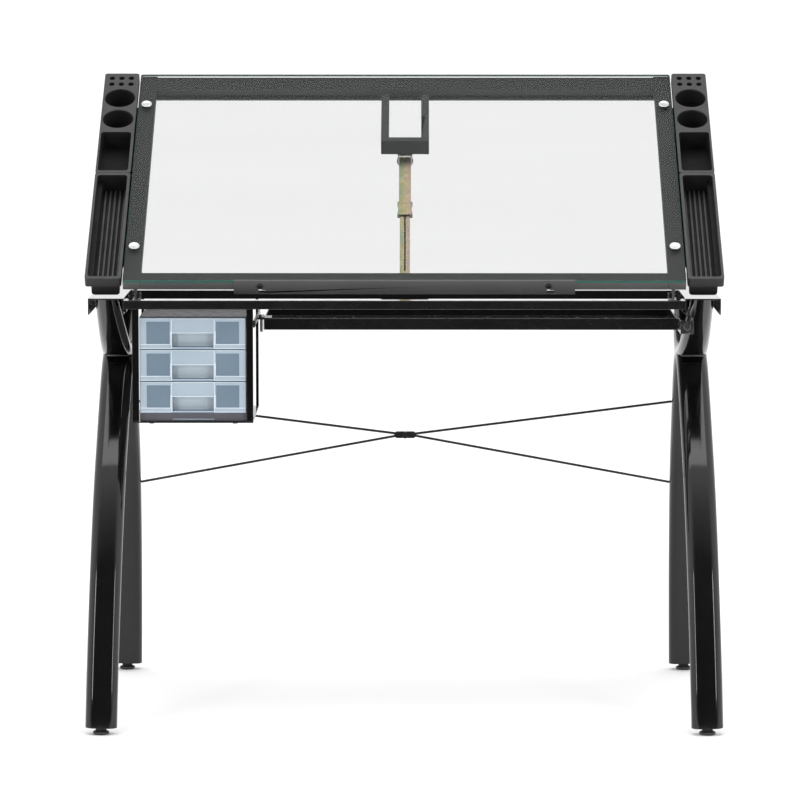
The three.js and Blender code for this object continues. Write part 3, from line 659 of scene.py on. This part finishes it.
# ---- side trays ------------------------------------------------------------------
RIM_DEPTH, TRAY_DEPTH, FLOOR_THICK = 17.5, 38.6, 3
TUB_INSET, POCKET_INSET, OUTER_STEP, TUB_WALL = 4, 6.5, 10.5, 1.5
RIBS, RIB_PITCH, RIB_HEIGHT, FIRST_RIB = 5, 8.4, 4.0, 10
CUP_RADIUS, PEN_RADIUS, PEN_PITCH, HOLES_FROM_GLASS = 27, 4.8, 17.4, 31.5
CUP_FROM_BACK, PEN_FROM_BACK, POCKET_FROM_BACK = (140.5, 76.5), (33, 14.5), (296, 181)


def tray_shell(inner, outer, low, high, reach, sign):
    """The rimmed tub, as a rounded rim with a narrower rounded trough under it."""
    top = high.z
    xs = sorted((sign * inner, sign * outer))
    rim = plate(rounded_rectangle((xs[0], low.y), (xs[1], high.y), 5), top - RIM_DEPTH, top)
    tub_x = sorted((sign * (inner + 3.5), sign * reach))
    floor = top - TRAY_DEPTH
    tub = along_y(rounded_rectangle((tub_x[0], floor), (tub_x[1], top - RIM_DEPTH + 6), 6),
                  low.y + TUB_INSET, high.y - TUB_INSET)
    return boolean(rim, [tub], "UNION")


def tray_pocket(inner, outer, y, top, reach, sign):
    """A rectangular well: an upper step as wide as the rim allows and a narrower floor."""
    floor = top - TRAY_DEPTH + FLOOR_THICK
    deep = sorted((sign * (inner + 5.5), sign * (reach - 2)))
    wide = sorted((sign * (inner + 5), sign * (outer - 4.5)))
    return [plate(rounded_rectangle((deep[0], y[0]), (deep[1], y[1]), 5), floor, top + 5),
            plate(rounded_rectangle((wide[0], y[0]), (wide[1], y[1]), 6), top - RIM_DEPTH + 2, top + 5)]


def tray(node, mesh):
    """The finished tray, with the floors between the ribs in a darker, less shiny copy of the plastic:
    painted shade in the wells.
    """
    top = mesh_box(node, TOP)[1].z
    ridge = top - TRAY_DEPTH + FLOOR_THICK + RIB_HEIGHT
    deep = [polygon.center.z < top - 6 and polygon.normal.z > 0.5 and abs(polygon.center.z - ridge) > 0.3
            for polygon in mesh.polygons]
    obj = piece(f"{node}_tub", mesh, node, [TRAY_PLASTIC, TRAY_FLOOR_SHADE], [node], TOP, 0.7)
    for polygon, is_shaded_floor in zip(obj.data.polygons, deep):
        polygon.material_index = int(is_shaded_floor)


def front_tray(side, sign):
    node = f"tray_front_{side}"
    low, high = mesh_box(node, TOP)
    inner, outer = sorted((abs(low.x), abs(high.x)))
    reach = outer - OUTER_STEP
    shell = tray_shell(inner, outer, low, high, reach, sign)
    well = (low.y + POCKET_INSET, high.y - POCKET_INSET)
    shell = boolean(shell, tray_pocket(inner, outer, well, high.z, reach, sign))
    floor = high.z - TRAY_DEPTH + FLOOR_THICK
    ribs = []
    for i in range(RIBS):
        x = sign * (inner + FIRST_RIB + RIB_PITCH * i)
        ridge = floor + RIB_HEIGHT
        rib = [(x - 2.2, floor - 0.5), (x + 2.2, floor - 0.5), (x + 1.6, ridge), (x - 1.6, ridge)]
        ribs.append(along_y(rib, low.y + 10, high.y - 10))
    tray(node, boolean(shell, ribs, "UNION"))


def back_tray(side, sign):
    node = f"tray_back_{side}"
    low, high = mesh_box(node, TOP)
    inner, outer = sorted((abs(low.x), abs(high.x)))
    reach = outer - TUB_WALL
    top = high.z
    floor = top - TRAY_DEPTH + FLOOR_THICK
    centre = sign * (inner + HOLES_FROM_GLASS)
    shell = tray_shell(inner, outer, low, high, reach, sign)
    tools = tray_pocket(inner, outer, [high.y - d for d in POCKET_FROM_BACK], top, reach, sign)
    for back in CUP_FROM_BACK:
        mouth = [(0, floor), (CUP_RADIUS - 1.6, floor), (CUP_RADIUS, floor + 1.6), (CUP_RADIUS, top - 1.2),
                 (CUP_RADIUS + 1.2, top), (CUP_RADIUS + 1.2, top + 5), (0, top + 5)]
        cup = lathe(mouth, 64)
        cup.transform(Matrix.Translation((centre, high.y - back, 0)))
        tools.append(cup)
    for back in PEN_FROM_BACK:
        for step in (-1, 0, 1):
            hole = lathe([(0, floor), (PEN_RADIUS, floor), (PEN_RADIUS, top - 0.8), (PEN_RADIUS + 0.8, top),
                          (PEN_RADIUS + 0.8, top + 5), (0, top + 5)], 32)
            hole.transform(Matrix.Translation((centre + step * PEN_PITCH, high.y - back, 0)))
            tools.append(hole)
    tray(node, boolean(shell, tools))


# ---- drawers ---------------------------------------------------------------------
DRAWERS = ("drawer_top", "drawer_middle", "drawer_bottom")
PULL_LEFT, PULL_RIGHT, PULL_BASE, PULL_TOP = -397.7, -326.6, 4, 28
FACE_INSET, LIP_BASE, LIP_HEIGHT = 0.6, 1.6, 8.5
OUTER_BORDER, INNER_BORDER, LOW_BORDER, HIGH_BORDER = 11.0, 2.0, 1.0, 5.6
PULL_RIB, PULL_RIB_FOOT, PULL_RIB_FOOT_TOP = 2.0, 3.6, 32
SCOOP_DEPTH = (14.4, 15.2)                # from the drawer's face to the two faces of the scoop's back


def border(x, z, front, sides):
    """A raised border on a face that looks along -Y; sides gives its widths: left, right, bottom, top."""
    left, right, bottom, top = sides
    back, face = front + 0.2, front - 0.5
    return [block((x[0], face, z[0]), (x[1], back, z[0] + bottom)),
            block((x[0], face, z[1] - top), (x[1], back, z[1])),
            block((x[0], face, z[0] + bottom), (x[0] + left, back, z[1] - top)),
            block((x[1] - right, face, z[0] + bottom), (x[1], back, z[1] - top))]


def strip(x, z, front, proud):
    return block((x[0], front - proud, z[0]), (x[1], front + 0.2, z[1]))


def drawer_panels(left, right, pull, front, base, top):
    """Borders round the two side panels, the folded lip under them, and the panel over the pull."""
    heights = (base + LIP_HEIGHT, top)
    panels = border(left, heights, front, (OUTER_BORDER, INNER_BORDER, LOW_BORDER, HIGH_BORDER))
    panels += border(right, heights, front, (INNER_BORDER, OUTER_BORDER, LOW_BORDER, HIGH_BORDER))
    panels += [strip(side, (base + LIP_BASE, base + LIP_HEIGHT), front, 0.7) for side in (left, right)]
    panels.append(strip(pull, (base + PULL_TOP, top), front, 0.6))
    panels.append(strip(pull, (base + LIP_BASE, base + PULL_BASE), front, 0.6))
    return panels


def drawer_edges(left, right, pull, front, base, top):
    """The pale parts: the scoop's back, lit as painted light in the recess; the folded edges and a rib on
    each side of the pull, paler where the plastic is thick and lighter still as painted highlight.
    """
    # The scoop's back is lit as painted light in the recess.
    scoop = block((PULL_LEFT + 0.2, front + SCOOP_DEPTH[0], base + PULL_BASE + 0.2),
                  (PULL_RIGHT - 0.2, front + SCOOP_DEPTH[1], base + PULL_TOP - 0.2))
    edges = [scoop, strip(pull, (base + PULL_TOP, base + PULL_TOP + 1.6), front, 1.6),
             strip(pull, (top - 1.2, top), front, 1.1)]
    for side in (left, right):
        edges.append(strip(side, (base + LIP_HEIGHT - 0.4, base + LIP_HEIGHT + 1.2), front, 1.3))
        edges.append(strip(side, (base + 1.4, base + 2.8), front, 1.3))
        edges.append(strip(side, (top - 1.0, top), front, 0.9))
    for x, way in ((PULL_LEFT, -1), (PULL_RIGHT, 1)):
        rib = sorted((x, x + PULL_RIB * way))
        rib_foot = sorted((x, x + PULL_RIB_FOOT * way))
        edges.append(strip(rib, (base + 1.4, top), front, 1.8))
        edges.append(strip(rib_foot, (base + LIP_HEIGHT, base + PULL_RIB_FOOT_TOP), front, 1.2))
    return edges


def drawers():
    for name in DRAWERS:
        low, high = mesh_box(name)
        left = (low.x + FACE_INSET, PULL_LEFT - PULL_RIB)
        right = (PULL_RIGHT + PULL_RIB, high.x - FACE_INSET)
        face = (left, right, (PULL_LEFT, PULL_RIGHT), low.y, low.z, high.z - FACE_INSET)
        piece(f"{name}_panels", joined(drawer_panels(*face)), name, FROSTED_LIGHT,
              rounding=0.2)
        piece(f"{name}_edges", joined(drawer_edges(*face)), name, FROSTED_PALE_LIT,
              rounding=0.3)


NOTCH_WIDTH = 72
PAD_RADIUS, PAD_HEIGHT, PAD_FROM_SIDE, PAD_FROM_END = 4.5, 2.2, 20, 14


def cabinet_details():
    """The notch in the front of the base, as a pale strip that paints the light passing through the cut-out,
    and the rack's rubber pads.
    """
    low, high = mesh_box("drawer_cabinet")
    middle = (PULL_LEFT + PULL_RIGHT) / 2
    notch_x = (middle - NOTCH_WIDTH / 2, middle + NOTCH_WIDTH / 2)
    # A pale strip just proud of the base's front: painted light seen through the notch.
    notch = strip(notch_x, (low.z + 1.2, low.z + 3.8), low.y, 0.3)
    piece("cabinet_notch_light", notch, "stand", FROSTED_LIGHT)
    shelf_low, shelf_high = mesh_box("rack_shelf")
    pads = []
    for x in (high.x - PAD_FROM_SIDE, low.x + PAD_FROM_SIDE):
        for y in (shelf_low.y + PAD_FROM_END, shelf_high.y - PAD_FROM_END):
            top = shelf_low.z + 0.1
            pads.append(rod((x, y, shelf_low.z - PAD_HEIGHT), (x, y, top), PAD_RADIUS, 24))
    piece("rack_pads", joined(pads), "stand", FOOT_PLASTIC, rounding=0.4)


# ---- ratchet ---------------------------------------------------------------------
TOOTH_PITCH, TOOTH_ROOT, TOOTH_TIP, RACK_UNDER, RACK_HALF = 6, 0.3, 2.2, -1.6, 2.1
TEETH_START, TEETH_BEFORE_END = 26, 14


def ratchet_teeth():
    """A toothed strip in the arm's slot, which the strap's pawl steps along."""
    high = mesh_box("ratchet_arm", RATCHET)[1]
    end = high.y - TEETH_BEFORE_END
    outline = [(TEETH_START, RACK_UNDER)]
    for i in range(int((end - TEETH_START) / TOOTH_PITCH)):
        y = TEETH_START + TOOTH_PITCH * i
        outline += [(y, TOOTH_ROOT), (y + 4.8, TOOTH_TIP), (y + 5.2, TOOTH_ROOT)]
    outline += [(end, TOOTH_ROOT), (end, RACK_UNDER)]
    mesh = plate(outline, -RACK_HALF, RACK_HALF)
    mesh.transform(Matrix(((0, 0, 1, 0), (1, 0, 0, 0), (0, 1, 0, 0), (0, 0, 0, 1))))
    piece("ratchet_teeth", mesh, "ratchet_arm", ZINC, place=RATCHET, rounding=0.15)


# ---- brace rods ------------------------------------------------------------------
WIRE_RADIUS, CROSSING_APART, BOLT_HEAD_FROM_MIDDLE = 2.25, 2.5, 11
FLAT_HALF, FLAT_HALF_HEIGHT, FLAT_HALF_THICK = 20, 6, 2.2


def brace_rods():
    """Round wire whose middle is hammered flat where the two cross."""
    bolt_low, bolt_high = mesh_box("brace_bolt")
    middle_z = (bolt_low.z + bolt_high.z) / 2
    for name, sign in (("brace_rod_a", -1), ("brace_rod_b", 1)):
        low, high = mesh_box(name)
        y = bolt_low.y + BOLT_HEAD_FROM_MIDDLE + CROSSING_APART * sign
        start_x, end_x = (low.x, high.x) if sign < 0 else (high.x, low.x)
        ends = [(start_x, high.y - 2, low.z + 2), (end_x, low.y + 2, high.z - 2)]
        near = [(sign * 17, y, middle_z - 2), (-sign * 17, y, middle_z + 2)]
        rods = [rod(a, b, WIRE_RADIUS, 20) for a, b in zip(ends, near)]
        outline = rounded_rectangle((-FLAT_HALF, middle_z - FLAT_HALF_HEIGHT),
                                    (FLAT_HALF, middle_z + FLAT_HALF_HEIGHT), 5.8)
        flat = along_y(outline, y - FLAT_HALF_THICK, y + FLAT_HALF_THICK)
        piece(f"{name}_wire", joined([flat, *rods]), "stand", BLACK_STEEL, [name],
              rounding=0.3)


# ---- CAD nodes that keep their shape ----------------------------------------------
def dress(nodes, look, rounding):
    for node in nodes:
        obj = NODES[node]
        obj.data.materials.clear()
        obj.data.materials.append(look)
        round_edges(obj, rounding)


def two_looks(nodes, look, way):
    """Gives the faces that look one way a material of their own: a lighter or darker copy that paints the
    light or shade on that side.
    """
    for node in nodes:
        mesh = NODES[node].data
        mesh.materials.append(look)
        for polygon in mesh.polygons:
            polygon.material_index = int(polygon.normal.dot(way) > 0.7)


def both(pattern):
    return [pattern.format(side) for side, _ in SIDES]


def dress_frame():
    posts = [f"rack_post_{end}_{side}" for end, _ in ENDS for side, _ in SIDES]
    dress(both("side_channel_{}"), GLOSS_BLACK, 1.0)
    dress(["front_rail", "middle_rail", "rear_rail"], RAIL_BLACK, 0.8)
    dress(["under_shelf", "shelf_bracket_left", "rack_shelf", *both("hinge_bracket_{}")], RAIL_BLACK, 0.5)
    dress(posts, GLOSS_BLACK, 0.8)
    dress(["shelf_bracket_right", *both("shelf_bolt_{}"), *both("hinge_bolt_{}")], BRIGHT_STEEL, 0.4)
    dress(["brace_bolt"], BLACK_STEEL, 0.4)
    dress(["ratchet_bracket", "ratchet_pin", "ratchet_arm", "ratchet_strap", "strap_bracket"], ZINC, 0.4)
    strips = [*both("top_frame_{}"), "top_frame_front", "top_frame_back"]
    dress(strips, SATIN_GREY, 0.8)
    # The strips' front faces get the lighter grey copy, painted light.
    two_looks(strips, FRONT_LIT_GREY, TOP.to_3x3() @ Vector((0, -1, 0)))
    dress(["pencil_ledge"], LEDGE_GREY, 0.5)
    dress(["support_loop"], LOOP_BLACK, 0.8)
    dress(["drawer_cabinet"], SMOKED, 0.6)
    # The cabinet's upward faces take the darker copy, painted shade under the tabletop.
    two_looks(["drawer_cabinet"], SMOKED_TOP_SHADE, Vector((0, 0, 1)))
    dress(DRAWERS, FROSTED, 0.4)


bpy.context.scene.view_settings.view_transform = "Standard"
camera_at_photo_angle()
studio()
pale_floor()
dress_frame()
legs_and_arms()
knee_welds()
feet()
glass()
frame_plugs()
glass_fixings()
ledge_screws()
for side_name, side_way in SIDES:
    front_tray(side_name, side_way)
    back_tray(side_name, side_way)
drawers()
cabinet_details()
ratchet_teeth()
brace_rods()
